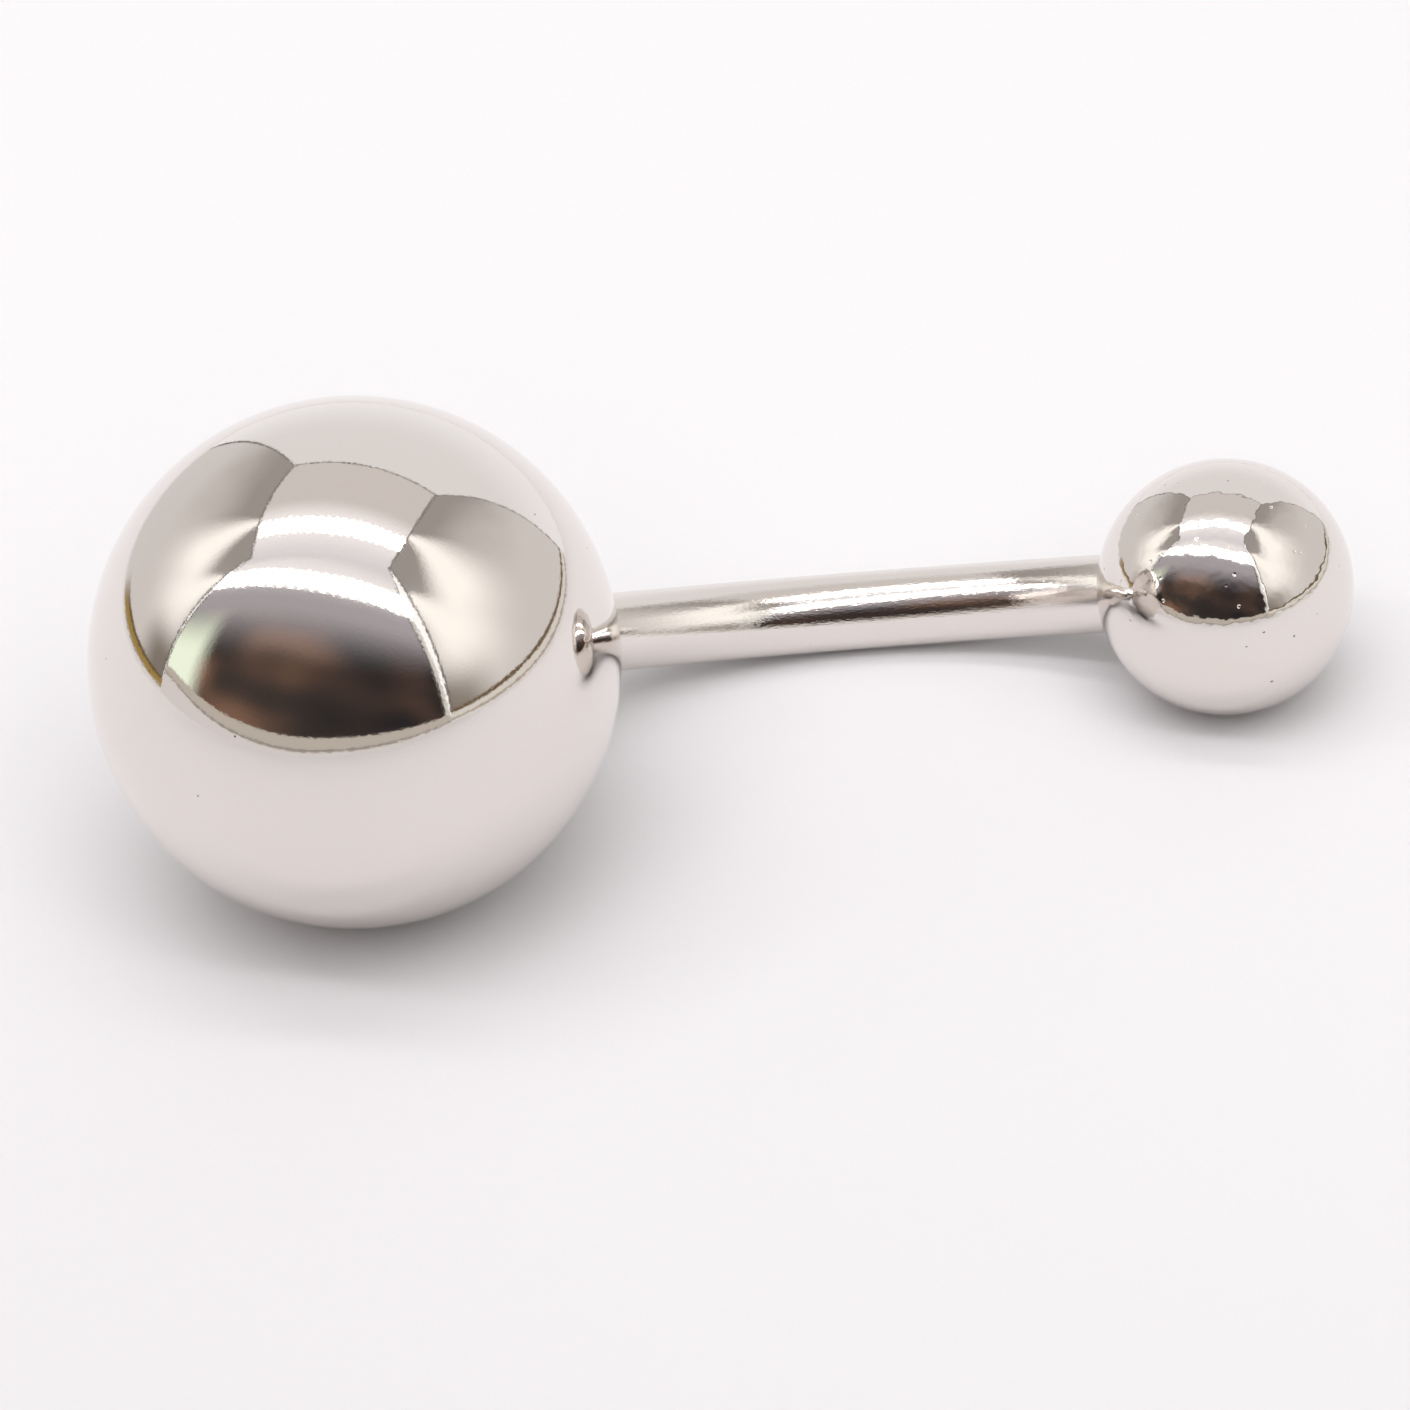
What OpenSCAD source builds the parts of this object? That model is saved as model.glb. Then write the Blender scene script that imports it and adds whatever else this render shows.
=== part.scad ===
// Curved piercing barbell: a bent round bar with a screwed post at each end,
// a large polished ball on one post and a small one on the other.
// It lies as it rests by itself, on both balls and the middle of the bar, on the plane z = 0.

/* [Balls] */
// Diameter of the large ball
large_d = 10; // [8:0.5:12]
// Diameter of the small ball
small_d = 5; // [4.5:0.5:6]

/* [Bar] */
// Diameter of the bar
bar_d = 1.55; // [1.5:0.05:1.7]
// Length of the bar along its curve, from one ball to the other
bar_len = 14.25; // [8:0.25:15]
// Radius that the middle line of the bar is bent to
bend_r = 8.35; // [8:0.05:60]

/* [Screwed posts] */
// Diameter over the thread
thread_d = 1.2; // [1:0.05:1.2]
// Depth of the thread
thread_depth = 0.14; // [0.1:0.01:0.16]
// Pitch of the thread
thread_pitch = 0.3; // [0.2:0.05:0.35]
// Length of each post, from the shoulder of the bar to its tip
post_len = 1.9; // [1.5:0.1:2]

/* [Fits] */
// Clearance round the thread in the ball
thread_gap = 0.04; // [0.03:0.01:0.06]
// Clearance round the bar in the seat of the ball
seat_gap = 0.03; // [0.02:0.01:0.05]
// Gap between the shoulder of the bar and the floor of the seat
shoulder_gap = 0.02; // [0.01:0.01:0.05]
// Depth of the seat below the edge where it meets the ball
seat_depth = 0.1; // [0.05:0.01:0.15]
// Gap left between the bar and the plane that it comes to rest on
rest_gap = 0.02; // [0:0.01:0.1]

/* [Hidden] */
$fn = 96;

large_r = large_d / 2;
small_r = small_d / 2;
bar_r = bar_d / 2;
seat_r = bar_r + seat_gap;

// Distance from the centre of a ball to the floor of its seat, and to the shoulder of the bar
function seat_floor(ball_r) = sqrt(ball_r * ball_r - seat_r * seat_r) - seat_depth;
function shoulder(ball_r) = seat_floor(ball_r) + shoulder_gap;

// The bar is bent in one plane round a point at [0, 0]. Its ends stand either side of 90 degrees.
bend_angle = bar_len / bend_r * 180 / PI;
large_end = 90 + bend_angle / 2;
small_end = 90 - bend_angle / 2;
function on_bend(angle) = [bend_r * cos(angle), bend_r * sin(angle), 0];

// The last stretch to the centre of each ball is straight
large_centre = on_bend(large_end) + shoulder(large_r) * [-sin(large_end), cos(large_end), 0];
small_centre = on_bend(small_end) + shoulder(small_r) * [sin(small_end), -cos(small_end), 0];
between = small_centre - large_centre;
centre_distance = norm(between);
chord_angle = atan2(between[1], between[0]);

// The small ball sits lower than the large one, so the line between them dips
dip = asin((large_r - small_r) / centre_distance);
level_distance = centre_distance * cos(dip);
large_x = (large_r - small_r - level_distance) / 2;

// The barbell rolls about the line between the ball centres until the bar reaches the plane too.
// bend_along and bend_aside say where the point that the bar is bent round lies from the large ball,
// along that line and square to it. The roll at which the lowest point of a ring of radius bend_r
// round it is just bar_r + rest_gap above the plane is the root of a quadratic.
bend_along = -large_centre[0] * cos(chord_angle) - large_centre[1] * sin(chord_angle);
bend_aside = large_centre[0] * sin(chord_angle) - large_centre[1] * cos(chord_angle);
room = large_r - bar_r - rest_gap - bend_along * sin(dip);
square_term = bend_r * bend_r - bend_aside * bend_aside;
last_term = pow(bend_r * sin(dip), 2) - room * room;
lean = (sqrt(pow(room * bend_aside, 2) - square_term * last_term) - room * bend_aside) / square_term;
// 0 bows straight back, and 90 bows straight down, where a slight bow stops short of the plane
bow_turn = asin(min(1, lean / cos(dip)));

// The part is centred front to back too, where the bar reaches further back than the large ball
back_reach = (bend_r + bend_aside) * cos(bow_turn) + bar_r;
large_y = (large_r - max(large_r, back_reach)) / 2;

// A ball is drawn with small flats. This turn about its hole brings a flat of the large ball down
// onto the plane, so that the barbell lies still there.
flat_turn = 2.1;

// The hole in a ball is drilled past the tip of the post and ends in the cone of the drill
hole_r = thread_d / 2 + thread_gap;
hole_extra = 0.2;
drill_cone = hole_r * tan(31);
cut_past = 1;

// The thread is drawn as rings of its own pitch, after a plain neck and before a bevelled tip
core_r = thread_d / 2 - thread_depth;
neck_len = 0.2;
tip_bevel = 0.15;
turns = floor((post_len - neck_len - tip_bevel) / thread_pitch);
rings = [
    for (turn = [0:turns - 1])
        let (z = neck_len + turn * thread_pitch)
            each [
                [core_r, z],
                [thread_d / 2, z + 0.4 * thread_pitch],
                [thread_d / 2, z + 0.6 * thread_pitch]
            ]
];

// Moves what is drawn in the plane of the bend to where the barbell lies
module lying() {
    translate([large_x, large_y, large_r])
        rotate([0, dip, 0])
            rotate([-bow_turn, 0, 0])
                rotate([0, 0, -chord_angle])
                    translate(-large_centre)
                        children();
}

// A ball round the origin with its seat and hole facing up
module drilled_ball(ball_r) {
    floor_z = seat_floor(ball_r);
    hole_z = floor_z - post_len - hole_extra;
    difference() {
        sphere(r = ball_r);
        translate([0, 0, floor_z])
            cylinder(r = seat_r, h = cut_past);
        rotate_extrude()
            polygon([
                [0, hole_z - drill_cone],
                [hole_r, hole_z],
                [hole_r, floor_z + cut_past],
                [0, floor_z + cut_past]
            ]);
    }
}

// A post that stands on the origin, sunk a little into the bar so that they are one solid
module post() {
    sunk = 0.1;
    rotate_extrude()
        polygon(concat(
            [[0, -sunk], [core_r, -sunk]],
            rings,
            [[core_r, neck_len + turns * thread_pitch]],
            [[core_r, post_len - tip_bevel], [core_r - tip_bevel, post_len], [0, post_len]]
        ));
}

module large_ball() {
    color("silver")
        lying()
            translate(large_centre)
                rotate([0, 90, large_end - 90])
                    rotate([0, 0, flat_turn])
                        drilled_ball(large_r);
}

module bar() {
    color("lightgray")
        lying() {
            rotate([0, 0, small_end])
                rotate_extrude(angle = bend_angle)
                    translate([bend_r, 0])
                        circle(r = bar_r);
            translate(on_bend(large_end))
                rotate([0, 90, large_end + 90])
                    post();
            translate(on_bend(small_end))
                rotate([0, 90, small_end - 90])
                    post();
        }
}

module small_ball() {
    color("silver")
        lying()
            translate(small_centre)
                rotate([0, 90, small_end + 90])
                    drilled_ball(small_r);
}

large_ball();
bar();
small_ball();
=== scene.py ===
"""A curved piercing barbell of polished steel, lying in a small white light box."""

import functools
import math

import bpy
from bpy.props import FloatProperty, FloatVectorProperty, PointerProperty
from mathutils import Matrix, Vector


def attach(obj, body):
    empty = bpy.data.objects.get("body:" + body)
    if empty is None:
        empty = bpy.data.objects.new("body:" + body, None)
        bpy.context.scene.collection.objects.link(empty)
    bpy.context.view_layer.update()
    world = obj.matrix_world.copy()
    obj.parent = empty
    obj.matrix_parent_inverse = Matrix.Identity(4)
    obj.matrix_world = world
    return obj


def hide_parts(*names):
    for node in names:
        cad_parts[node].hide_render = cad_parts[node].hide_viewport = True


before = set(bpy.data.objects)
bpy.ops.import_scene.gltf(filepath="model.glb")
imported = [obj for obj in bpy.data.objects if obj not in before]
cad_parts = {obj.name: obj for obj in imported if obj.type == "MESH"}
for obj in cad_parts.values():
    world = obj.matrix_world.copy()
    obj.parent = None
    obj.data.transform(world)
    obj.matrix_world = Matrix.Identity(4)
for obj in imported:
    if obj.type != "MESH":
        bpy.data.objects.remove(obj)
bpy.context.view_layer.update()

bl_info = {
    "name": "Curved barbell",
    "version": (1, 0, 0),
    "blender": (4, 5, 0),
    "location": "3D View > Sidebar > Barbell",
    "description": "Models a curved barbell of polished steel and the light box that it lies in",
    "category": "Object",
}

MM = 0.001

# How far a hole goes on past the tip of its post, and the slope of the cone that the drill leaves
HOLE_EXTRA = 0.2 * MM
DRILL_ANGLE = math.radians(31)
# The small bevels where sharp machined edges were broken, round a hole and at the bar's shoulders
HOLE_EDGE_BREAK = 0.015 * MM
SHOULDER_BREAK = 0.03 * MM
BREAK_SEGMENTS = 3
# The plain neck of a post, its bevelled tip, and the rows of points for each turn of its thread
NECK_LEN = 0.2 * MM
TIP_BEVEL = 0.15 * MM
ROWS_A_TURN = 12
# The thread's flanks rise this much faster than they need to, which leaves the crests flat
THREAD_FLANK = 1.25
# The thread rises from nothing over this share of a turn, and ends so too
THREAD_RUN_IN = 0.6
BALL_SEGMENTS = {"large_ball": 256, "small_ball": 192}
# How many of a ball's rings are left out beside its seat, where its skin is drawn to the edge
RING_MARGIN = 0.6
BAR_SEGMENTS = 96
BAR_ROWS = 220
# With no window, a spin by a positive angle turns the other way
SPIN_WAY = -1
# How close to a place a point counts as being there, and how close points are merged
NEAR = 0.001 * MM
MERGE_WITHIN = 0.0001 * MM
# Faces that meet at less than this are shaded as one smooth skin
SMOOTH_ANGLE = math.radians(30)
# How far past the bar's shoulder the material of the posts begins
POST_FROM = 0.05 * MM

# The width of the paper in metres, which fills the view from every side
PAPER_SIZE = 4
# The light box: its height above the middle of the large ball, and how far it is turned
BOX_H = 220 * MM
BOX_YAW = math.radians(-29.3)
# The colours of the seams of its cloth and foil
SEAM = "#8C857F"
DARK_SEAM = "#6E655D"
# How far back the ceiling's lamps lie, as a share of its depth
LAMPS_BACK = 0.26
# The soft light leans 40 degrees from straight above, towards the camera's side
SOFT_LIGHT_TURN = (math.radians(40), 0, math.radians(-13.4))
SOFT_LIGHT_BREADTH = math.radians(60)
SURROUND_COLOUR = (1, 0.99, 1, 1)
# The camera's place in millimetres, where its right, top and back face, and its lens
CAMERA_PLACE = (-25.4656, -104.2970, 72.5843)
CAMERA_AXES = ((0.958778, -0.275412, -0.069950), (0.208034, 0.512646, 0.833016),
               (-0.193563, -0.813230, 0.548809))
CAMERA_LENS = 170.58
CAMERA_SENSOR = 36
CAMERA_NEAREST = 1 * MM


def linear(hex_colour):
    """Turns an sRGB hex colour into linear red, green and blue."""
    parts = [int(hex_colour[i:i + 2], 16) / 255 for i in (1, 3, 5)]
    return [c / 12.92 if c <= 0.04045 else ((c + 0.055) / 1.055) ** 2.4 for c in parts]


# ---- Sizes and colours ----

class BarbellSizes(bpy.types.PropertyGroup):
    """Sizes of the barbell, the same as in the CAD model."""

    large_d: FloatProperty(name="Large ball", description="Diameter of the large ball",
                           default=10 * MM, precision=5, subtype="DISTANCE", unit="LENGTH")
    small_d: FloatProperty(name="Small ball", description="Diameter of the small ball",
                           default=5 * MM, precision=5, subtype="DISTANCE", unit="LENGTH")
    bar_d: FloatProperty(name="Bar", description="Diameter of the bar",
                         default=1.55 * MM, precision=5, subtype="DISTANCE", unit="LENGTH")
    bar_len: FloatProperty(name="Bar length", description="Length of the bar along its curve",
                           default=14.25 * MM, precision=5, subtype="DISTANCE", unit="LENGTH")
    bend_r: FloatProperty(name="Bend radius", description="Radius of the bar's middle line",
                          default=8.35 * MM, precision=5, subtype="DISTANCE", unit="LENGTH")
    thread_d: FloatProperty(name="Thread", description="Diameter over the thread of a post",
                            default=1.2 * MM, precision=5, subtype="DISTANCE", unit="LENGTH")
    thread_depth: FloatProperty(name="Thread depth", description="Depth of the thread",
                                default=0.14 * MM, precision=5, subtype="DISTANCE", unit="LENGTH")
    thread_pitch: FloatProperty(name="Pitch", description="Distance from turn to turn",
                                default=0.3 * MM, precision=5, subtype="DISTANCE", unit="LENGTH")
    post_len: FloatProperty(name="Post length", description="Length of a post past the shoulder",
                            default=1.9 * MM, precision=5, subtype="DISTANCE", unit="LENGTH")
    thread_gap: FloatProperty(name="Thread gap", description="Clearance round the thread",
                              default=0.04 * MM, precision=5, subtype="DISTANCE", unit="LENGTH")
    seat_gap: FloatProperty(name="Seat gap", description="Clearance round the bar in a seat",
                            default=0.03 * MM, precision=5, subtype="DISTANCE", unit="LENGTH")
    shoulder_gap: FloatProperty(name="Shoulder gap",
                                description="Gap between the bar's shoulder and the seat",
                                default=0.02 * MM, precision=5, subtype="DISTANCE", unit="LENGTH")
    seat_depth: FloatProperty(name="Seat depth", description="Depth of a seat below its edge",
                              default=0.1 * MM, precision=5, subtype="DISTANCE", unit="LENGTH")
    rest_gap: FloatProperty(name="Rest gap", description="Gap left under the middle of the bar",
                            default=0.02 * MM, precision=5, subtype="DISTANCE", unit="LENGTH")


class BarbellLooks(bpy.types.PropertyGroup):
    """Colours of the steel and of the light box."""

    steel: FloatVectorProperty(name="Steel", description="What polished steel reflects",
                               subtype="COLOR", size=3, min=0, max=1,
                               default=linear("#E6E0DB"))
    paper: FloatVectorProperty(name="Paper", description="The white paper that it lies on",
                               subtype="COLOR", size=3, min=0, max=1,
                               default=linear("#CDCCCE"))
    lamp: FloatProperty(name="Lamps", description="Brightness of the rows of lamps",
                        default=5.7, min=0)
    soft_light: FloatProperty(name="Soft light", description="Strength of the broad front light",
                              default=2.05, min=0)
    surround: FloatProperty(name="Surround", description="Brightness all round the light box",
                            default=1.3, min=0)


# ---- Where everything lies ----

class Layout:
    """Works out where the pieces lie, the way the CAD model does. The bar is bent in the plane
    z = 0 round the origin; `lying` moves that plane to where the barbell comes to rest."""

    def __init__(self, sizes):
        self.large_r = sizes.large_d / 2
        self.small_r = sizes.small_d / 2
        self.bar_r = sizes.bar_d / 2
        self.seat_r = self.bar_r + sizes.seat_gap
        self.bend_r = sizes.bend_r
        self.bend_angle = sizes.bar_len / sizes.bend_r
        self.large_end = math.pi / 2 + self.bend_angle / 2
        self.small_end = math.pi / 2 - self.bend_angle / 2
        self.seat_depth = sizes.seat_depth
        self.shoulder_gap = sizes.shoulder_gap

        # Each end of the bar by its place on the bend, and which way round the bar runs to it
        self.ends = ((self.large_end, 1), (self.small_end, -1))
        self.large_centre, self.small_centre = (
            self.on_bend(angle) + self.shoulder(ball_r) * self.onward(angle, turn)
            for ball_r, (angle, turn) in zip((self.large_r, self.small_r), self.ends))
        between = self.small_centre - self.large_centre
        chord_angle = math.atan2(between.y, between.x)
        dip = math.asin((self.large_r - self.small_r) / between.length)
        large_x = (self.large_r - self.small_r - between.length * math.cos(dip)) / 2

        # The roll at which the bow of the bar comes down to the paper is the root of a quadratic
        along = (-self.large_centre.x * math.cos(chord_angle)
                 - self.large_centre.y * math.sin(chord_angle))
        aside = (self.large_centre.x * math.sin(chord_angle)
                 - self.large_centre.y * math.cos(chord_angle))
        room = self.large_r - self.bar_r - sizes.rest_gap - along * math.sin(dip)
        square_term = self.bend_r ** 2 - aside ** 2
        last_term = (self.bend_r * math.sin(dip)) ** 2 - room ** 2
        lean = (math.sqrt((room * aside) ** 2 - square_term * last_term)
                - room * aside) / square_term
        bow_turn = math.asin(min(1, lean / math.cos(dip)))
        back_reach = (self.bend_r + aside) * math.cos(bow_turn) + self.bar_r
        large_y = (self.large_r - max(self.large_r, back_reach)) / 2

        self.lying = (Matrix.Translation((large_x, large_y, self.large_r))
                      @ Matrix.Rotation(dip, 4, "Y")
                      @ Matrix.Rotation(-bow_turn, 4, "X")
                      @ Matrix.Rotation(-chord_angle, 4, "Z")
                      @ Matrix.Translation(-self.large_centre))

    def on_bend(self, angle):
        """A point of the bar's middle line."""
        return Vector((self.bend_r * math.cos(angle), self.bend_r * math.sin(angle), 0))

    def onward(self, angle, turn):
        """The way that the bar runs at a place on the bend, anticlockwise for a turn of 1."""
        return turn * Vector((-math.sin(angle), math.cos(angle), 0))

    def seat_floor(self, ball_r):
        """How far the floor of a ball's seat lies from the ball's centre."""
        return math.sqrt(ball_r ** 2 - self.seat_r ** 2) - self.seat_depth

    def shoulder(self, ball_r):
        """How far the bar's shoulder lies from the ball's centre."""
        return self.seat_floor(ball_r) + self.shoulder_gap

    def facing(self, centre, angle):
        """Stands something that points up on a place in the bend's plane, pointing along it."""
        return (self.lying @ Matrix.Translation(centre)
                @ Matrix.Rotation(angle, 4, "Z") @ Matrix.Rotation(math.pi / 2, 4, "Y"))


def layout():
    """The layout for the sizes that are set."""
    return Layout(bpy.context.scene.barbell_sizes)


# ---- Small modelling tools ----

def start_fresh():
    """Leaves edit mode and deselects everything, so that a new primitive starts alone."""
    if bpy.context.object and bpy.context.object.mode != "OBJECT":
        bpy.ops.object.mode_set(mode="OBJECT")
    bpy.ops.object.select_all(action="DESELECT")


def pick(piece, wanted):
    """Selects the vertices for which wanted(place) holds, and the edges and faces between them."""
    bpy.ops.object.mode_set(mode="OBJECT")
    mesh = piece.data
    for part in (mesh.polygons, mesh.edges, mesh.vertices):
        for item in part:
            item.select = False
    for vertex in mesh.vertices:
        vertex.select = bool(wanted(vertex.co))
    bpy.ops.object.mode_set(mode="EDIT")
    bpy.ops.mesh.select_mode(type="VERT")


def points_of(piece):
    """The vertices of a piece as its last edit left them."""
    bpy.ops.object.mode_set(mode="OBJECT")
    return piece.data.vertices


def push_out(step):
    """Extrudes what is selected by a step."""
    bpy.ops.mesh.extrude_region_move(TRANSFORM_OT_translate={"value": tuple(step)})


def push_in(factor, centre):
    """Extrudes what is selected and shrinks it round a centre."""
    bpy.ops.mesh.extrude_region_move()
    bpy.ops.transform.resize(value=(factor,) * 3, center_override=tuple(centre))


def finish_piece(piece, name, place, material, body):
    """Closes a piece: turns its faces outward, lays its place into its mesh and hands it over."""
    bpy.ops.object.mode_set(mode="EDIT")
    bpy.ops.mesh.select_all(action="SELECT")
    bpy.ops.mesh.remove_doubles(threshold=MERGE_WITHIN)
    bpy.ops.mesh.normals_make_consistent(inside=False)
    bpy.ops.object.mode_set(mode="OBJECT")
    piece.matrix_world = place
    bpy.ops.object.transform_apply(location=True, rotation=True, scale=True)
    bpy.ops.object.shade_smooth_by_angle(angle=SMOOTH_ANGLE)
    piece.name = piece.data.name = name
    piece.data.materials.clear()
    piece.data.materials.append(material)
    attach(piece, body)


# ---- Materials ----

SMOOTH = {"interpolation_type": "SMOOTHSTEP"}
# The sockets of a Mix node that mixes colours: its two colours and its result
MIX_BELOW, MIX_ABOVE, MIX_RESULT = 6, 7, 2
# How much of the half width of a line, and of a speck, is at full strength before it fades
LINE_CORE = 0.4
SPECK_CORE = 0.3
# Pits are tiny hollows, painted darker than the metal round them: painted shade
PIT_SHADE_COLOUR = "#5C544E"


def add_node(tree, kind, inputs=(), out=0, **settings):
    """Adds a shader node with its settings and links, and returns one of its outputs, or a few
    for a slice. Inputs, in the node's order or by name, are values or the sockets that feed it."""
    node = tree.nodes.new("ShaderNode" + kind)
    for setting, value in settings.items():
        setattr(node, setting, value)
    for key, value in inputs.items() if isinstance(inputs, dict) else enumerate(inputs):
        if isinstance(value, bpy.types.NodeSocket):
            tree.links.new(value, node.inputs[key])
        else:
            node.inputs[key].default_value = value
    return node.outputs[out] if node.outputs else None


def new_material(name):
    """A material with nothing in it yet, and add_node for its tree."""
    material = bpy.data.materials.new(name)
    material.use_nodes = True
    material.node_tree.nodes.clear()
    return material, functools.partial(add_node, material.node_tree)


def line(add, value, at, width):
    """1 along a thin line where value is near at, and 0 away from it."""
    off = add("Math", (add("Math", (value, at), operation="SUBTRACT"),), operation="ABSOLUTE")
    return add("MapRange", (off, width, LINE_CORE * width), **SMOOTH)


def paint(add, base, *layers):
    """Lays layers of (share, hex colour, brightness) over a colour, one after the other."""
    for share, hex_colour, brightness in layers:
        colour = (*(part * brightness for part in linear(hex_colour)), 1)
        base = add("Mix", {"Factor": share, MIX_BELOW: base, MIX_ABOVE: colour}, out=MIX_RESULT,
                   data_type="RGBA")
    return base


def specks(add, place, cell, radius, share):
    """Pinprick marks of a real radius, about one in a cell, in a share of the cells."""
    distance, colour = add("TexVoronoi", {"Vector": place, "Scale": 1 / cell}, out=slice(2))
    reach = radius / cell
    near = add("MapRange", (distance, reach, SPECK_CORE * reach), **SMOOTH)
    chosen = add("Math", (colour, share), operation="LESS_THAN")
    return add("Math", (near, chosen), operation="MULTIPLY")


def steel_surface(add, roughness, height, depth, pits):
    """Bare steel with relief from `height`, `depth` deep, and painted shade in pits where `pits`
    is 1.
    """
    steel = (*bpy.context.scene.barbell_looks.steel, 1)
    bump = add("Bump", {"Strength": 1.0, "Distance": depth, "Height": height})
    shader = add("BsdfPrincipled", {"Base Color": paint(add, steel, (pits, PIT_SHADE_COLOUR, 1)),
                                    "Metallic": 1.0, "Roughness": roughness, "Normal": bump})
    add("OutputMaterial", {"Surface": shader})


def tumbled_mirror_steel(name, wave, wave_depth, pit, dents):
    """Stainless steel balls, tumbled and buffed to a mirror. That gives sharp reflections whose
    edges wander a little, over a fine mottle, a few pinprick pits and tiny dents that sparkle."""
    material, add = new_material(name)
    place = add("TexCoord", out="Object")
    waves = add("TexNoise", {"Vector": place, "Scale": 1 / wave, "Detail": 1.0})
    # The mottle of the buffing is finer on the real ball, and is drawn this coarse to show
    mottle = add("TexNoise", {"Vector": place, "Scale": 1 / (0.07 * MM), "Detail": 2.0})
    pits = specks(add, place, cell=0.45 * MM, radius=pit, share=0.22)
    dented = specks(add, place, cell=0.25 * MM, radius=0.045 * MM, share=dents)
    # The mottle is a tenth as high as the waves, and a dent is twice as deep
    height = add("Math", (mottle, 0.1, waves), operation="MULTIPLY_ADD")
    height = add("Math", (dented, -2.0, height), operation="MULTIPLY_ADD")
    sheen = add("TexNoise", {"Vector": place, "Scale": 1 / (0.5 * MM), "Detail": 3.0})
    roughness = add("MapRange", {"Value": sheen, "To Min": 0.02, "To Max": 0.06})
    steel_surface(add, roughness, height, wave_depth, pits)
    return material


def drawn_bar_steel(name):
    """Stainless steel wire, buffed along its length. That leaves fine lines along the bar, which
    tear the edges of the reflections, and duller, freshly cut threads on the posts."""
    material, add = new_material(name)
    along = add("Attribute", attribute_name="along_bar", out="Vector")
    threads = add("Attribute", attribute_name="on_post", out="Fac")
    # The buffing lines are finer on the real bar, and are drawn this coarse to show. They are
    # three times as long as they are wide, and a third higher than the waves.
    stretched = add("Mapping", {"Vector": along, "Scale": (0.3, 1, 1)})
    lines = add("TexNoise", {"Vector": stretched, "Scale": 1 / (0.04 * MM), "Detail": 3.0,
                             "Roughness": 0.6})
    waves = add("TexNoise", {"Vector": along, "Scale": 1 / (0.9 * MM), "Detail": 2.0})
    pits = specks(add, along, cell=0.6 * MM, radius=0.02 * MM, share=0.3)
    height = add("Math", (lines, 1.3, waves), operation="MULTIPLY_ADD")
    roughness = add("MapRange", {"Value": threads, "To Min": 0.06, "To Max": 0.3})
    steel_surface(add, roughness, height, 0.003 * MM, pits)
    return material


def matt_white_paper(colour):
    """Uncoated white paper, which scatters light evenly and has no shine. Its colour is set below
    white, so that it comes out as white as in the photograph under these lights."""
    material, add = new_material("matt_white_paper")
    shader = add("BsdfPrincipled", {"Base Color": (*colour, 1), "Roughness": 1.0,
                                    "Specular IOR Level": 0.0})
    add("OutputMaterial", {"Surface": shader})
    return material


# ---- The pieces ----

def cut_thread(piece, find, length, height):
    """Raises a right-handed thread, or sinks it for a height below 0, with a run-in at each end.
    find(co) says how far along the thread's axis a point of it lies, and its angle round it."""
    pitch = bpy.context.scene.barbell_sizes.thread_pitch
    run_in = THREAD_RUN_IN * pitch
    thread = piece.vertex_groups.new(name="thread")
    for vertex in points_of(piece):
        found = find(vertex.co)
        if found:
            along, angle = found
            phase = (along / pitch - angle / (2 * math.pi)) % 1
            crest = min(1.0, (1 - abs(2 * phase - 1)) * THREAD_FLANK)
            whole = min(1.0, along / run_in, (length - along) / run_in)
            thread.add([vertex.index], crest * whole, "REPLACE")
    raised = piece.modifiers.new("thread", "DISPLACE")
    raised.vertex_group = "thread"
    raised.strength = height
    raised.mid_level = 0
    bpy.ops.object.modifier_apply(modifier="thread")
    piece.vertex_groups.remove(piece.vertex_groups["thread"])


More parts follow.
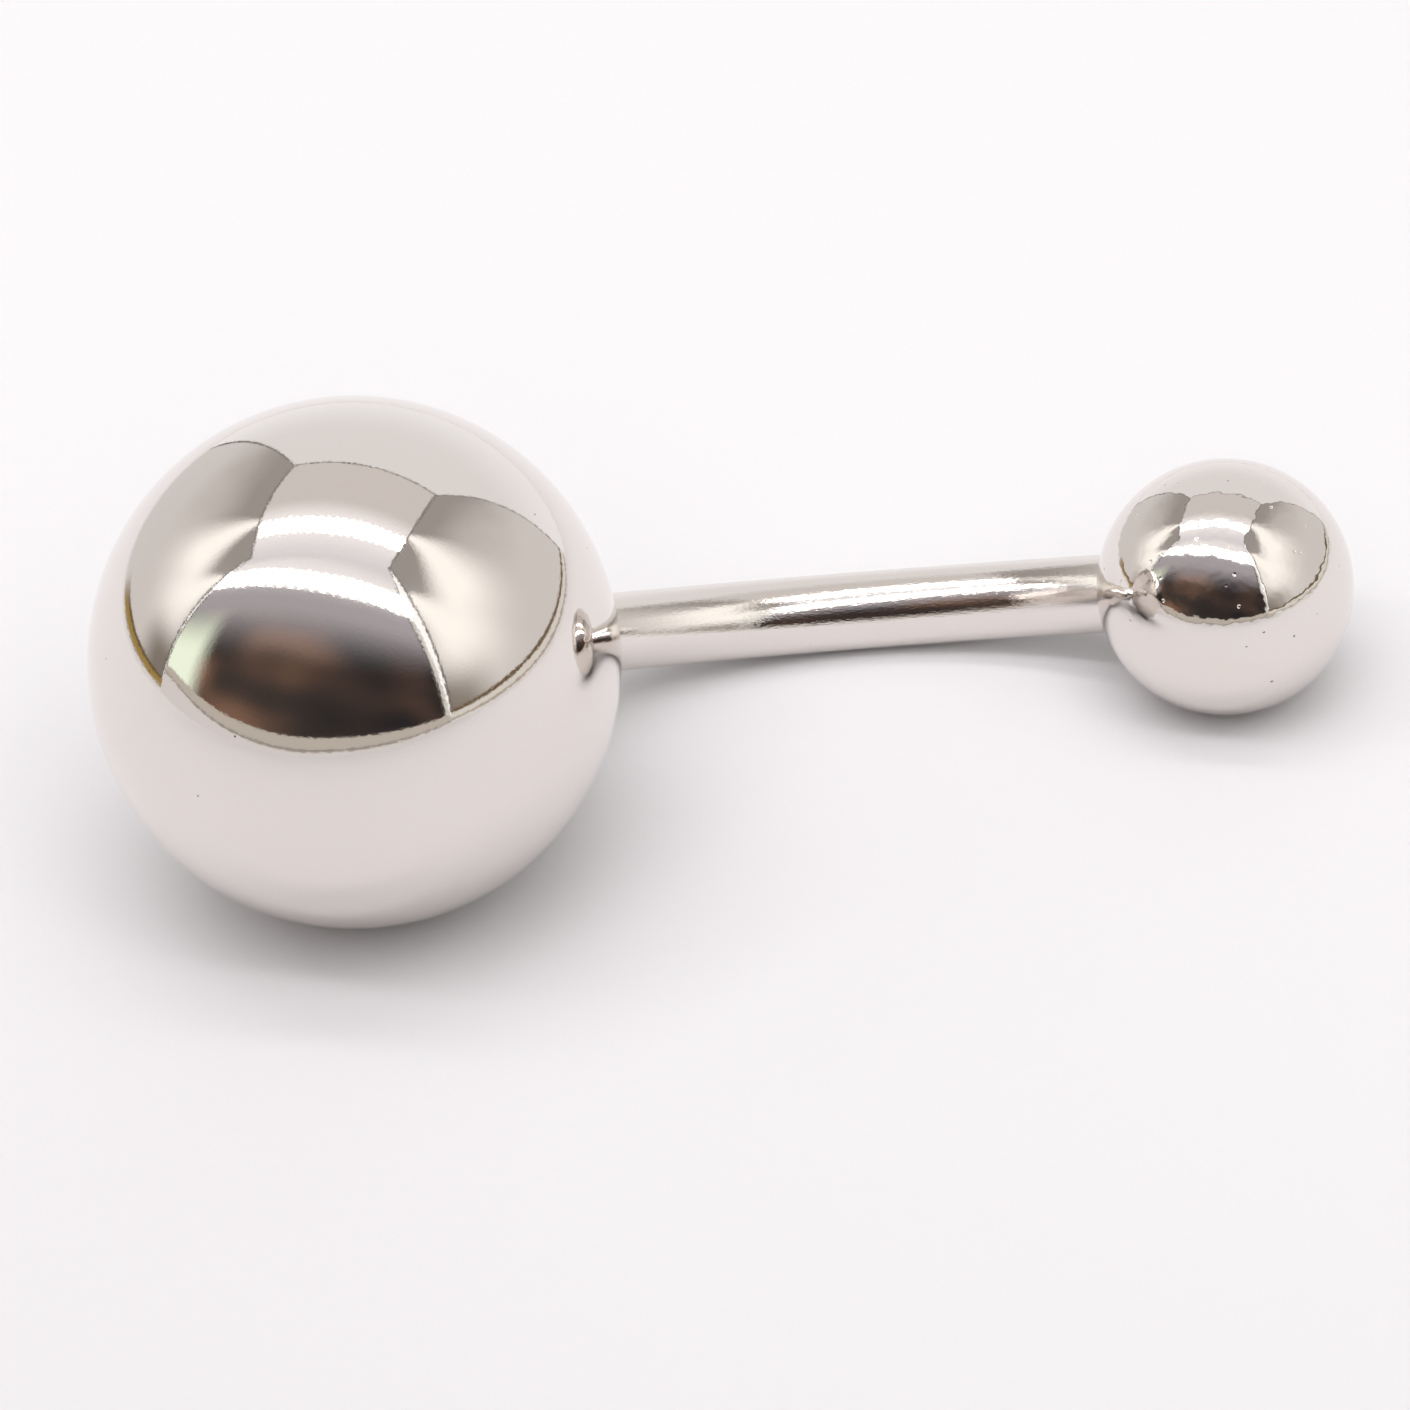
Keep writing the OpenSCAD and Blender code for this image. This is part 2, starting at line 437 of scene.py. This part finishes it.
def drilled_ball(body, ball_r, place, material):
    """A ball with a seat for the bar and a blind tapped hole, modelled with the hole on top."""
    sizes = bpy.context.scene.barbell_sizes
    lay = layout()
    segments = BALL_SEGMENTS[body]
    rings = segments // 2
    start_fresh()
    bpy.ops.mesh.primitive_uv_sphere_add(segments=segments, ring_count=rings, radius=ball_r)
    ball = bpy.context.object

    # Open the top, then carry the ball's skin up to the edge of the seat
    ring_step = math.pi / rings
    keep_angle = math.asin(lay.seat_r / ball_r) + RING_MARGIN * ring_step
    edge_z = math.sqrt(ball_r ** 2 - lay.seat_r ** 2)
    pick(ball, lambda co: co.z > ball_r * math.cos(keep_angle))
    bpy.ops.mesh.delete(type="VERT")
    top_z = max(vertex.co.z for vertex in points_of(ball))
    top_r = math.sqrt(ball_r ** 2 - top_z ** 2)
    pick(ball, lambda co: co.z > top_z - NEAR)
    push_out((0, 0, edge_z - top_z))
    bpy.ops.transform.resize(value=(lay.seat_r / top_r,) * 2 + (1,),
                             center_override=(0, 0, edge_z))

    # Seat, hole and the cone that the drill leaves
    hole_r = sizes.thread_d / 2 + sizes.thread_gap
    hole_z = lay.seat_floor(ball_r) - sizes.post_len - HOLE_EXTRA
    push_out((0, 0, -sizes.seat_depth))
    push_in(hole_r / lay.seat_r, (0, 0, lay.seat_floor(ball_r)))
    tapped_len = sizes.post_len - NECK_LEN
    row = sizes.thread_pitch / ROWS_A_TURN
    rows = round(tapped_len / row)
    push_out((0, 0, -NECK_LEN))
    bpy.ops.mesh.extrude_repeat(steps=rows, offset=(0, 0, -row))
    push_out((0, 0, rows * row - tapped_len - HOLE_EXTRA))
    bpy.ops.mesh.extrude_region_move()
    bpy.ops.mesh.merge(type="CENTER")
    tip_z = hole_z - hole_r * math.tan(DRILL_ANGLE)
    bpy.ops.transform.translate(value=(0, 0, tip_z - hole_z))

    # Break the sharp edges of the seat and of the hole
    for radius, height in ((lay.seat_r, edge_z), (hole_r, lay.seat_floor(ball_r))):
        pick(ball, lambda co: abs(co.z - height) < NEAR and abs(co.xy.length - radius) < NEAR)
        bpy.ops.mesh.bevel(offset=HOLE_EDGE_BREAK, segments=BREAK_SEGMENTS, affect="EDGES")

    # Seen from the mouth of the hole, the thread runs the same way as on the post
    def in_bore(co):
        along = lay.seat_floor(ball_r) - NECK_LEN - co.z
        if 0 <= along <= tapped_len and abs(co.xy.length - hole_r) < NEAR:
            return along, -math.atan2(co.y, co.x)

    bpy.ops.mesh.select_all(action="SELECT")
    bpy.ops.mesh.normals_make_consistent(inside=False)
    cut_thread(ball, in_bore, tapped_len, -sizes.thread_depth)
    finish_piece(ball, body + "_polished", place, material, body)
    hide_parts(body)


class BARBELL_OT_large_ball(bpy.types.Operator):
    """Model the large ball with its seat and hole"""
    bl_idname = "barbell.large_ball"
    bl_label = "Large ball"

    def execute(self, context):
        lay = layout()
        place = lay.facing(lay.large_centre, lay.large_end - math.pi / 2)
        steel = tumbled_mirror_steel("mirror_steel_large", wave=2.2 * MM,
                                     wave_depth=0.005 * MM, pit=0.03 * MM, dents=0.0)
        drilled_ball("large_ball", lay.large_r, place, steel)
        return {"FINISHED"}


class BARBELL_OT_small_ball(bpy.types.Operator):
    """Model the small ball with its seat and hole"""
    bl_idname = "barbell.small_ball"
    bl_label = "Small ball"

    def execute(self, context):
        lay = layout()
        place = lay.facing(lay.small_centre, lay.small_end + math.pi / 2)
        steel = tumbled_mirror_steel("mirror_steel_small", wave=0.22 * MM,
                                     wave_depth=0.0042 * MM, pit=0.04 * MM, dents=0.4)
        drilled_ball("small_ball", lay.small_r, place, steel)
        return {"FINISHED"}


class BARBELL_OT_bar(bpy.types.Operator):
    """Model the bent bar and its two threaded posts"""
    bl_idname = "barbell.bar"
    bl_label = "Bent bar"

    def execute(self, context):
        sizes = context.scene.barbell_sizes
        lay = layout()
        start_fresh()
        bpy.ops.mesh.primitive_circle_add(
            vertices=BAR_SEGMENTS, radius=lay.bar_r, fill_type="NOTHING",
            location=lay.on_bend(lay.small_end),
            rotation=(0, math.pi / 2, lay.small_end - math.pi / 2))
        bar = context.object
        bpy.ops.object.transform_apply(location=True, rotation=True, scale=True)
        bpy.ops.object.mode_set(mode="EDIT")
        bpy.ops.mesh.select_all(action="SELECT")
        bpy.ops.mesh.spin(steps=BAR_ROWS, angle=SPIN_WAY * lay.bend_angle, center=(0, 0, 0),
                          axis=(0, 0, 1))

        # A post grows out of each end, and then the sharp edge of the shoulder is broken
        core_r = sizes.thread_d / 2 - sizes.thread_depth
        thread_len = sizes.post_len - NECK_LEN - TIP_BEVEL
        row = sizes.thread_pitch / ROWS_A_TURN
        rows = round(thread_len / row)
        for angle, turn in lay.ends:
            foot = lay.on_bend(angle)
            way = lay.onward(angle, turn)
            pick(bar, lambda co: (co - foot).length < 1.01 * lay.bar_r
                 and abs((co - foot).dot(way)) < 2 * NEAR)
            push_in(core_r / lay.bar_r, foot)
            push_out(way * NECK_LEN)
            bpy.ops.mesh.extrude_repeat(steps=rows, offset=way * row)
            push_out(way * (sizes.post_len - NECK_LEN - rows * row))
            tip = foot + way * sizes.post_len
            bpy.ops.transform.resize(value=((core_r - TIP_BEVEL) / core_r,) * 3,
                                     center_override=tuple(tip))
            bpy.ops.mesh.edge_face_add()
            pick(bar, lambda co: abs((co - foot).length - lay.bar_r) < NEAR
                 and abs((co - foot).dot(way)) < 2 * NEAR)
            bpy.ops.mesh.bevel(offset=SHOULDER_BREAK, segments=BREAK_SEGMENTS, affect="EDGES")

        def on_a_post(co):
            for angle, turn in lay.ends:
                outward = Vector((math.cos(angle), math.sin(angle), 0))
                way = lay.onward(angle, turn)
                from_foot = co - lay.on_bend(angle)
                along = from_foot.dot(way) - NECK_LEN
                aside = from_foot - from_foot.dot(way) * way
                if 0 <= along <= thread_len and abs(aside.length - core_r) < 10 * NEAR:
                    return along, -turn * math.atan2(aside.z, aside.dot(outward))

        cut_thread(bar, on_a_post, thread_len, sizes.thread_depth)
        self.mark_lengthwise(bar, lay)
        finish_piece(bar, "bar_polished", lay.lying, drawn_bar_steel("buffed_bar_steel"),
                     "bar")
        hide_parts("bar")
        return {"FINISHED"}

    def mark_lengthwise(self, bar, lay):
        """Stores each point's place along and across the straightened bar, and whether it is on a
        post, for the material to read."""
        places = []
        on_post = []
        for vertex in bar.data.vertices:
            angle = math.atan2(vertex.co.y, vertex.co.x)
            out = vertex.co.xy.length - lay.bend_r
            places += [angle * lay.bend_r, out, vertex.co.z]
            past = abs(angle - math.pi / 2) - lay.bend_angle / 2
            on_post.append(1.0 if past * lay.bend_r > POST_FROM else 0.0)
        bar.data.attributes.new("along_bar", "FLOAT_VECTOR", "POINT")
        bar.data.attributes["along_bar"].data.foreach_set("vector", places)
        bar.data.attributes.new("on_post", "FLOAT", "POINT")
        bar.data.attributes["on_post"].data.foreach_set("value", on_post)


# ---- The light box, the floor, the lights and the camera ----

# Each function of a panel gets its place on the panel, from 0 to 1 each way, and returns the
# colour and the strength of its glow

def sewn_white_cloth(add, place):
    """Woven white cloth over the top, glowing with painted light: lit more strongly beside its row
    of lamps and in painted shade behind them, with sewn seams at its edges."""
    across, back = add("SeparateXYZ", (place,), out=slice(2))
    behind_lamps = add("Math", (back, LAMPS_BACK), operation="SUBTRACT")
    from_lamps = add("Math", (behind_lamps,), operation="ABSOLUTE")
    tone = paint(add, (*linear("#F2F0F4"), 1),
                 # Painted shade behind the row of lamps, then painted light beside it
                 (add("MapRange", (back, 0.22, 0.34), **SMOOTH), "#DFDAD7", 1),
                 (add("MapRange", (from_lamps, 0.26, 0.04), **SMOOTH), "#FFFCFD", 1.12),
                 (line(add, across, 0.0, 0.016), SEAM, 1),
                 (line(add, across, 1.0, 0.016), SEAM, 1),
                 (line(add, back, 1.0, 0.022), DARK_SEAM, 1))
    return tone, 1.0


def hanging_white_cloth(add, place):
    """The same cloth where it hangs down over the open front, with painted light that is palest at
    its lower edge, beside the row of lamps.
    """
    across, up = add("SeparateXYZ", (place,), out=slice(2))
    tone = paint(add, (*linear("#EEECF0"), 1),
                 # Painted light, brightest at the lower edge beside the lamps
                 (add("MapRange", (up, 0.75, 0.2), **SMOOTH), "#FFFCFD", 1.05),
                 (line(add, across, 0.0, 0.016), SEAM, 1),
                 (line(add, across, 1.0, 0.016), "#A39D98", 1))
    return tone, 1.0


def lamp_strip(add, place, lamps):
    """A strip of small round lamps so close that their glows overlap."""
    across, up = add("SeparateXYZ", (place,), out=slice(2))
    phase = add("Math", (add("Math", (across, lamps), operation="MULTIPLY"),),
                operation="FRACT")
    along = add("Math", (phase, 1.4, -0.7), operation="MULTIPLY_ADD")
    height = add("Math", (up, 2.0, -1.0), operation="MULTIPLY_ADD")
    reach = add("Math", (add("Math", (along, 2.0), operation="POWER"),
                         add("Math", (height, 2.0), operation="POWER")), operation="ADD")
    lit = add("MapRange", (reach, 0.95, 0.7), **SMOOTH)
    brightness = bpy.context.scene.barbell_looks.lamp
    return (*linear("#FFFDFE"), 1), add("Math", (lit, brightness, 1.0),
                                        operation="MULTIPLY_ADD")


def silver_foil(add, place, streaks, foot_line_colour, foot_line_from):
    """Crinkled silver foil, glowing with painted light: mid grey above, paler below, with broad
    pale painted reflections of the lamps, painted shade low at the front, seams at its edges and
    thin bands along the paper, the top one a painted shadow of the gap between foil and paper."""
    across, up = add("SeparateXYZ", (place,), out=slice(2))
    uneven = add("TexNoise", {"Vector": place, "Scale": 2.5, "Detail": 1.0})
    height = add("Math", (uneven, 0.3, up), operation="MULTIPLY_ADD")
    # Painted shade low on the foil near the open front
    front_foot_shade = add("Math", (add("MapRange", (across, 0.76, 0.93), **SMOOTH),
                              add("MapRange", (up, 0.27, 0.1), **SMOOTH)),
                     operation="MULTIPLY")
    # Painted light: paler below than above
    tone = paint(add, (*linear("#A9A39F"), 1),
                 (add("MapRange", (height, 0.95, 0.35), **SMOOTH), "#E0DCDA", 1),
                 (front_foot_shade, "#8C847B", 1))
    # Broad pale streaks: painted reflections of the lamps in the foil
    for top_x, top_z, low_x, low_z in streaks:
        slope = (low_x - top_x) / (low_z - top_z)
        below = add("Math", (top_z, up), operation="SUBTRACT")
        centre = add("Math", (below, -slope, top_x), operation="MULTIPLY_ADD")
        off = add("Math", (add("Math", (across, centre), operation="SUBTRACT"),),
                  operation="ABSOLUTE")
        spread = add("Math", (add("Math", (below, 0.32, 0.045), operation="MULTIPLY_ADD"),
                              0.02), operation="MAXIMUM")
        inside = add("MapRange", (add("Math", (off, spread), operation="DIVIDE"), 1.0, 0.1),
                     **SMOOTH)
        ends = add("Math", (add("MapRange", (up, low_z - 0.12, low_z + 0.2), **SMOOTH),
                            add("MapRange", (below, -0.02, 0.03), **SMOOTH)),
                   operation="MULTIPLY")
        shown = add("Math", (inside, ends), operation="MULTIPLY")
        tone = paint(add, tone, (shown, "#FFFDF8", 1.27))
    tone = paint(add, tone, (line(add, across, 0.0, 0.018), DARK_SEAM, 1),
                 (line(add, across, 1.0, 0.014), "#77716B", 1),
                 (line(add, up, 1.0, 0.014), SEAM, 1))
    # Thin bands along the paper: the dark top one is painted shadow of the gap between foil and
    # paper, over a coloured line and a pale one
    along_foot = add("MapRange", (across, foot_line_from, foot_line_from + 0.15), **SMOOTH)
    for top, low, colour in ((0.048, 0.044, "#75614A"), (0.036, 0.033, foot_line_colour),
                             (0.018, 0.015, "#B4A797")):
        below = add("MapRange", (up, top, low), **SMOOTH)
        tone = paint(add, tone, (add("Math", (along_foot, below), operation="MULTIPLY"), colour, 1))
    return paint(add, tone, (add("MapRange", (up, 0.012, 0.008), **SMOOTH), "#EDEAEB", 1)), 1.0


def white_paper_sweep(add, place):
    """The white paper where it sweeps up at the back, with painted light that is brightest near
    the floor.
    """
    up = add("SeparateXYZ", (place,), out=1)
    low = add("MapRange", (up, 0.45, 0.0), **SMOOTH)
    return paint(add, (*linear("#F1EFEF"), 1), (low, "#FFFEFF", 1)), 1.0


def open_front(add, place):
    """The open front of the light box, dark and blurred, paler towards its top with painted light
    from the lamps, over the folded edge of the paper in painted shade.
    """
    across, up = add("SeparateXYZ", (place,), out=slice(2))
    blot = add("TexNoise", {"Vector": place, "Scale": 4.0, "Detail": 1.0})
    right = add("MapRange", (across, 0.45, 0.7), **SMOOTH)
    warm = add("Math", (add("MapRange", (blot, 0.35, 0.75), **SMOOTH),
                        add("Math", (right, -0.75, 1.0), operation="MULTIPLY_ADD")),
               operation="MULTIPLY")
    lip = add("Math", (add("MapRange", (across, 0.55, 0.0), **SMOOTH), 0.1, 0.05),
              operation="MULTIPLY_ADD")
    above_lip = add("Math", (up, lip), operation="SUBTRACT")
    pale = add("Math", (add("MapRange", (across, 0.31, 0.2), **SMOOTH),
                        add("MapRange", (up, 0.6, 0.25), **SMOOTH)), operation="MULTIPLY")
    tone = paint(add, (*linear("#423B38"), 1),
                 (right, "#2A292B", 1),
                 (warm, "#98745F", 1),
                 # Painted light from the lamps above: paler towards the top
                 (add("MapRange", (up, 0.25, 0.62), **SMOOTH), "#B4B0B5", 1),
                 (add("MapRange", (up, 0.65, 0.95), **SMOOTH), "#DCD8DD", 1),
                 (pale, "#F2FFEA", 1.2),
                 (line(add, across, 0.0, 0.02), "#5F5A54", 1),
                 (add("MapRange", (across, 0.956, 0.96), **SMOOTH), "#66615C", 1),
                 (add("MapRange", (across, 0.968, 0.972), **SMOOTH), "#E2E0DA", 1),
                 # The folded edge of the paper, painted in shade, with paper beyond it
                 (add("MapRange", (above_lip, 0.004, 0.0), **SMOOTH), "#C9C2B8", 1),
                 (add("MapRange", (above_lip, -0.032, -0.035), **SMOOTH), "#A29A93", 1),
                 (add("MapRange", (above_lip, -0.040, -0.044), **SMOOTH), "#E6E1E1", 1))
    return tone, 1.0


class BARBELL_OT_stage(bpy.types.Operator):
    """Lay out the paper, the light box that the steel mirrors, the lights and the camera"""
    bl_idname = "barbell.stage"
    bl_label = "Light box, lights and camera"

    def execute(self, context):
        scene = context.scene
        lay = layout()
        scene.view_settings.view_transform = "Standard"
        centre = lay.lying @ lay.large_centre
        self.box = Matrix.Translation(centre) @ Matrix.Rotation(BOX_YAW, 4, "Z")
        self.paper_floor(scene)
        self.light_box(-lay.large_r / BOX_H)
        self.lights(scene)
        self.camera(scene)
        return {"FINISHED"}

    def paper_floor(self, scene):
        """The white paper that the barbell lies on."""
        start_fresh()
        bpy.ops.mesh.primitive_plane_add(size=PAPER_SIZE)
        floor = bpy.context.object
        floor.name = "paper_floor"
        floor.data.materials.append(matt_white_paper(scene.barbell_looks.paper))

    def panel(self, name, corners, finish, glow):
        """A glowing panel of the light box, which the camera doesn't see and the soft light
        passes. Its corners go round it, in heights of the box from the large ball's middle."""
        start_fresh()
        bpy.ops.mesh.primitive_plane_add(size=1)
        panel = bpy.context.object
        panel.name = panel.data.name = name
        low_left, low_right, top_right, top_left = corners
        for vertex, corner in zip(panel.data.vertices,
                                  (low_left, low_right, top_left, top_right)):
            vertex.co = self.box @ (Vector(corner) * BOX_H)
        material, add = new_material(finish)
        colour, strength = glow(add, add("TexCoord", out="UV"))
        light = add("Emission", {"Color": colour, "Strength": strength})
        add("OutputMaterial", {"Surface": light})
        panel.data.materials.append(material)
        panel.visible_camera = False
        panel.visible_shadow = False

    def light_box(self, low):
        """Glowing panels with painted light: white cloth above and in front, foil at the sides,
        paper behind, lamps in two rows.
        """
        back_l, back_r = (-0.51, 0.745), (0.51, 0.745)
        top_l, top_r = (-0.65, -0.2), (0.43, -0.2)
        door_l, door_r = (-0.594, -0.2055), (0.449, -0.31)
        door_top = 0.63
        self.panel("ceiling", [(*top_l, 1), (*top_r, 1), (*back_r, 1), (*back_l, 1)],
                   "sewn_white_cloth", sewn_white_cloth)
        self.panel("lamp_row_ceiling", [(-0.58, -0.035, 0.99), (0.44, -0.035, 0.99),
                                        (0.44, 0.115, 0.99), (-0.58, 0.115, 0.99)],
                   "lamp_strip_above", functools.partial(lamp_strip, lamps=20))
        self.panel("front_flap", [(*door_l, door_top), (*door_r, door_top), (*top_r, 1),
                                  (*top_l, 1)], "hanging_white_cloth", hanging_white_cloth)
        self.panel("lamp_row_flap", [(-0.594, -0.200, 0.475), (0.449, -0.300, 0.475),
                                     (0.449, -0.270, 0.67), (-0.594, -0.195, 0.67)],
                   "lamp_strip_front", functools.partial(lamp_strip, lamps=24))
        self.panel("door", [(*door_l, low), (*door_r, low), (*door_r, door_top),
                            (*door_l, door_top)], "open_front", open_front)
        self.panel("left_wall", [(*back_l, low), (*door_l, low), (*top_l, 1), (*back_l, 1)],
                   "silver_foil_left",
                   functools.partial(silver_foil, foot_line_colour="#A98F4E", foot_line_from=0.5,
                                     streaks=((0.66, 1.0, 0.80, 0.25), (1.0, 0.64, 0.86, 0.2))))
        self.panel("right_wall", [(*back_r, low), (*door_r, low), (*top_r, 1), (*back_r, 1)],
                   "silver_foil_right",
                   functools.partial(silver_foil, foot_line_colour="#E9E5DE", foot_line_from=-0.2,
                                     streaks=((0.64, 1.0, 0.80, 0.2), (1.0, 0.64, 0.83, 0.12))))
        self.panel("back_paper", [(*back_l, low), (*back_r, low), (*back_r, 1), (*back_l, 1)],
                   "white_paper_sweep", white_paper_sweep)

    def lights(self, scene):
        """A pale surround, and a broad soft light from the camera's side, which brightens the
        paper in front of the balls and doesn't show in the steel."""
        start_fresh()
        bpy.ops.object.light_add(type="SUN", rotation=SOFT_LIGHT_TURN)
        light = bpy.context.object
        light.name = light.data.name = "soft_light"
        light.data.angle = SOFT_LIGHT_BREADTH
        light.data.energy = scene.barbell_looks.soft_light
        light.visible_glossy = False
        scene.world = bpy.data.worlds.new("pale_surround")
        scene.world.use_nodes = True
        surround = scene.world.node_tree.nodes["Background"]
        surround.inputs["Color"].default_value = SURROUND_COLOUR
        surround.inputs["Strength"].default_value = scene.barbell_looks.surround

    def camera(self, scene):
        """Looks down on the barbell from the front left."""
        start_fresh()
        bpy.ops.object.camera_add()
        camera = bpy.context.object
        turn = Matrix([Vector(axis) for axis in CAMERA_AXES]).transposed().to_4x4()
        camera.matrix_world = Matrix.Translation(Vector(CAMERA_PLACE) * MM) @ turn
        camera.data.sensor_width = CAMERA_SENSOR
        camera.data.lens = CAMERA_LENS
        camera.data.clip_start = CAMERA_NEAREST
        scene.camera = camera


# ---- Sidebar, registration and the run ----

class BARBELL_PT_sidebar(bpy.types.Panel):
    """Lists the pieces of the barbell and their sizes"""
    bl_idname = "BARBELL_PT_sidebar"
    bl_label = "Curved barbell"
    bl_space_type = "VIEW_3D"
    bl_region_type = "UI"
    bl_category = "Barbell"

    def draw(self, context):
        for group in (context.scene.barbell_sizes, context.scene.barbell_looks):
            for name in group.__annotations__:
                self.layout.prop(group, name)
        for piece in PIECES:
            self.layout.operator(piece.bl_idname)


PIECES = (BARBELL_OT_stage, BARBELL_OT_large_ball, BARBELL_OT_bar, BARBELL_OT_small_ball)
CLASSES = (BarbellSizes, BarbellLooks, *PIECES, BARBELL_PT_sidebar)


def register():
    for kind in CLASSES:
        bpy.utils.register_class(kind)
    bpy.types.Scene.barbell_sizes = PointerProperty(type=BarbellSizes)
    bpy.types.Scene.barbell_looks = PointerProperty(type=BarbellLooks)


def unregister():
    del bpy.types.Scene.barbell_looks
    del bpy.types.Scene.barbell_sizes
    for kind in reversed(CLASSES):
        bpy.utils.unregister_class(kind)


def main():
    """Builds the stage and the pieces in order."""
    register()
    bpy.ops.barbell.stage()
    bpy.ops.barbell.large_ball()
    bpy.ops.barbell.bar()
    bpy.ops.barbell.small_ball()


if __name__ == "__main__":
    main()
